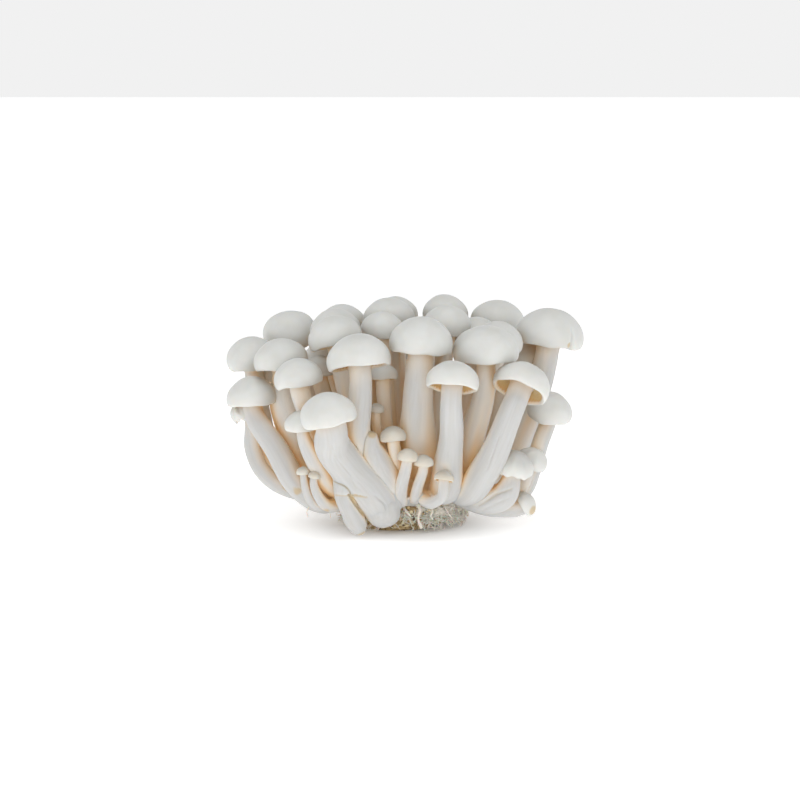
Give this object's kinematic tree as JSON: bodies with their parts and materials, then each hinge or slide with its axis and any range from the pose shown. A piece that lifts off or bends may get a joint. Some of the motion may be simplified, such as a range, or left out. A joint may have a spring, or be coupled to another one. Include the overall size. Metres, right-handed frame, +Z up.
{
  "type": "shimeji mushroom bunch",
  "caption": "Bunch of white shimeji mushrooms: domed caps with gills on fanned stems that grow from one fused foot, standing upright on a cut plug of pale brown substrate.",
  "frame": {"origin": "middle of the resting place on the plug's flat underside", "axes": "+Z up out of the plug, +Y away from the side that the picture shows, +X to the viewer's right"},
  "size_m": [0.1292, 0.1185, 0.08],
  "materials": {
    "mushroom_flesh": "satin ivory-white mushroom flesh, fine lengthwise fibres on the stems",
    "substrate": "crumbly sawdust and bran, matted with white mycelium"
  },
  "bodies": {
    "root": {"fused_foot": "mushroom_flesh", "mushroom_back_1": "mushroom_flesh", "mushroom_back_2": "mushroom_flesh", "mushroom_back_3": "mushroom_flesh", "mushroom_back_4": "mushroom_flesh", "mushroom_back_5": "mushroom_flesh", "mushroom_back_6": "mushroom_flesh", "mushroom_back_7": "mushroom_flesh", "mushroom_back_8": "mushroom_flesh", "mushroom_back_9": "mushroom_flesh", "mushroom_crown_centre": "mushroom_flesh", "mushroom_crown_centre_back": "mushroom_flesh", "mushroom_crown_centre_front": "mushroom_flesh", "mushroom_crown_inner": "mushroom_flesh", "mushroom_crown_left_back": "mushroom_flesh", "mushroom_crown_left_front": "mushroom_flesh", "mushroom_crown_left_mid": "mushroom_flesh", "mushroom_crown_mid": "mushroom_flesh", "mushroom_crown_mid_back": "mushroom_flesh", "mushroom_crown_mid_front": "mushroom_flesh", "mushroom_crown_right_back": "mushroom_flesh", "mushroom_crown_right_front": "mushroom_flesh", "mushroom_crown_right_mid": "mushroom_flesh", "mushroom_front_left_low": "mushroom_flesh", "mushroom_front_left_small": "mushroom_flesh", "mushroom_front_left_tall": "mushroom_flesh", "mushroom_front_mid_low": "mushroom_flesh", "mushroom_front_mid_tall": "mushroom_flesh", "mushroom_front_right_leaning": "mushroom_flesh", "mushroom_front_right_tall": "mushroom_flesh", "mushroom_inner_left": "mushroom_flesh", "mushroom_inner_mid": "mushroom_flesh", "mushroom_inner_right": "mushroom_flesh", "mushroom_inner_small": "mushroom_flesh", "mushroom_left_back_high": "mushroom_flesh", "mushroom_left_front_mid": "mushroom_flesh", "mushroom_left_high": "mushroom_flesh", "mushroom_left_outer_high": "mushroom_flesh", "mushroom_left_outer_low": "mushroom_flesh", "mushroom_left_outer_torn": "mushroom_flesh", "mushroom_right_outer_high": "mushroom_flesh", "mushroom_right_outer_low": "mushroom_flesh", "mushroom_right_small_back": "mushroom_flesh", "mushroom_right_small_front": "mushroom_flesh", "substrate_plug": "substrate"}
  },
  "joints": []
}
